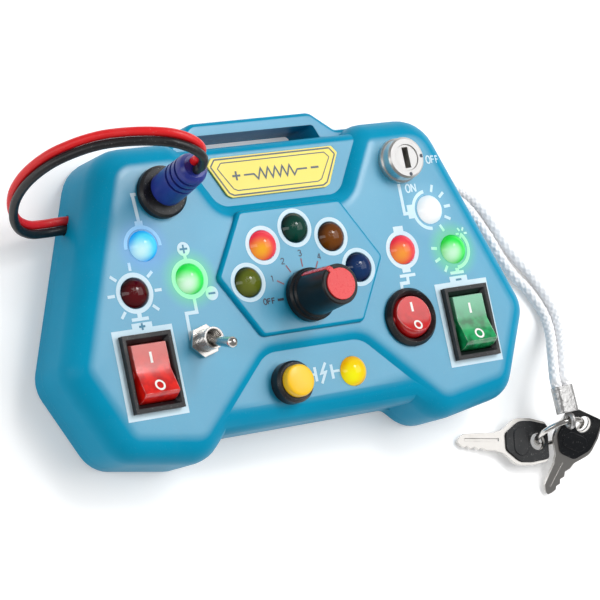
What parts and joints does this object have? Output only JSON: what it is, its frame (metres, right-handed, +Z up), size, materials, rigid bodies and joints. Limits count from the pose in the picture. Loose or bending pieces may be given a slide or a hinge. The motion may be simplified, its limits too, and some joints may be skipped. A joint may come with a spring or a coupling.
{
  "type": "busy board",
  "caption": "Busy board with two grips and a handle: lamps, rocker, toggle, rotary, push and key switches, a plug-in lead and keys on a lanyard",
  "frame": {"origin": "bottom centre of the board without its cords, on the back face that it lies on", "axes": "+X to the right along the board, +Y towards the carrying handle, +Z up out of the panel"},
  "size_m": [0.1854, 0.121, 0.0554],
  "materials": {
    "casing_blue": "fine-grained blue moulding",
    "badge_yellow": "smooth yellow plate",
    "steel": "plain steel",
    "cell_wrap": "wrapped cell",
    "brass": "plain brass",
    "rocker_red": "translucent red",
    "rocker_green": "translucent green",
    "switch_black": "smooth black",
    "nickel": "polished plating",
    "knob_black": "satin black",
    "cap_red": "glossy red",
    "button_yellow": "glossy yellow",
    "plug_blue": "satin blue",
    "wire_red": "flexible red insulation",
    "wire_black": "flexible black insulation",
    "lanyard_white": "braided white cord",
    "crimp": "crimped nickel",
    "lens_olive": "clear coloured lens",
    "lens_red_lit": "clear coloured lens",
    "lens_dark_green": "clear coloured lens",
    "lens_amber": "clear coloured lens",
    "lens_dark_blue": "clear coloured lens",
    "lens_blue_lit": "clear coloured lens",
    "lens_dark_red": "clear coloured lens",
    "lens_green_lit": "clear coloured lens",
    "lens_white_lit": "clear coloured lens",
    "lens_yellow_lit": "clear coloured lens"
  },
  "bodies": {
    "board": {"front_shell": "casing_blue", "back_shell": "casing_blue", "battery_door": "casing_blue", "battery_door_screw": "steel", "case_screws": "steel", "badge_plate": "badge_yellow", "battery_cells": "cell_wrap", "battery_contacts": "steel", "switch_terminals": "brass", "left_rocker_housing": "switch_black", "right_rocker_housing": "switch_black", "round_rocker_housing": "switch_black", "toggle_body": "nickel", "toggle_nut": "nickel", "rotary_body": "switch_black", "rotary_nut": "steel", "push_housing": "switch_black", "push_nut": "steel", "push_spring": "steel", "key_switch_housing": "nickel", "key_switch_nut": "steel", "dc_jack": "switch_black", "dc_jack_nut": "steel", "lead_red": "wire_red", "lead_black": "wire_black", "lanyard_a": "lanyard_white", "lanyard_b": "lanyard_white", "lanyard_sleeve": "crimp", "key_ring": "nickel", "lamp_dial_yellow": "lens_olive", "lamp_dial_red": "lens_red_lit", "lamp_dial_green": "lens_dark_green", "lamp_dial_amber": "lens_amber", "lamp_dial_blue": "lens_dark_blue", "lamp_left_blue": "lens_blue_lit", "lamp_left_red": "lens_dark_red", "lamp_left_green": "lens_green_lit", "lamp_right_white": "lens_white_lit", "lamp_right_green": "lens_green_lit", "lamp_right_red": "lens_red_lit", "lamp_lower_yellow": "lens_yellow_lit"},
    "knob": {"rotary_shaft": "steel", "knob": "knob_black", "knob_cap": "cap_red"},
    "left_rocker": {"left_rocker": "rocker_red"},
    "right_rocker": {"right_rocker": "rocker_green"},
    "round_rocker": {"round_rocker": "rocker_red"},
    "toggle": {"toggle_lever": "nickel"},
    "push": {"push_cap": "button_yellow"},
    "lock": {"key_cylinder": "nickel"},
    "plug": {"dc_plug": "plug_blue", "dc_plug_barrel": "nickel"},
    "key_front": {"key_front_blade": "nickel", "key_front_head": "knob_black"},
    "key_rear": {"key_rear_blade": "nickel", "key_rear_head": "knob_black"}
  },
  "joints": [
    {"name": "knob_turn", "type": "hinge", "parent": "board", "child": "knob", "pos_m": [0, -0.00691, 0.0335], "axis": [0, 0, 1], "range_deg": [-90, 60]},
    {"name": "left_rocker_tip", "type": "hinge", "parent": "board", "child": "left_rocker", "pos_m": [-0.053, -0.02111, 0.023], "axis": [1, 0, 0], "range_deg": [0, 24]},
    {"name": "right_rocker_tip", "type": "hinge", "parent": "board", "child": "right_rocker", "pos_m": [0.053, -0.02111, 0.023], "axis": [1, 0, 0], "range_deg": [0, 24]},
    {"name": "round_rocker_tip", "type": "hinge", "parent": "board", "child": "round_rocker", "pos_m": [0.033, -0.01711, 0.0235], "axis": [1, 0, 0], "range_deg": [0, 24]},
    {"name": "toggle_throw", "type": "hinge", "parent": "board", "child": "toggle", "pos_m": [-0.0353, -0.01501, 0.0264], "axis": [-1, 0, 0], "range_deg": [0, 26]},
    {"name": "push_press", "type": "slide", "parent": "board", "child": "push", "axis": [0, 0, -1], "range_m": [0, 0.0015], "stiffness_N_per_m": 400, "springref_m": -0.002, "deforming": ["push_spring"]},
    {"name": "lock_turn", "type": "hinge", "parent": "board", "child": "lock", "pos_m": [0.0402, 0.02799, 0.0235], "axis": [0, 0, 1], "range_deg": [0, 90]},
    {"name": "plug_pull", "type": "slide", "parent": "board", "child": "plug", "axis": [0, 0.1392, 0.9903], "range_m": [0, 0.012], "deforming": ["lead_red", "lead_black"]},
    {"name": "key_front_swing", "type": "hinge", "parent": "board", "child": "key_front", "pos_m": [0.09534, -0.05556, 0.0111], "axis": [-0.2208, -0.3824, 0.8972], "range_deg": [-5, 5]},
    {"name": "key_rear_swing", "type": "hinge", "parent": "board", "child": "key_rear", "pos_m": [0.08256, -0.05818, 0.0039], "axis": [-0.1165, 0.0205, 0.993], "range_deg": [-5, 5]}
  ]
}
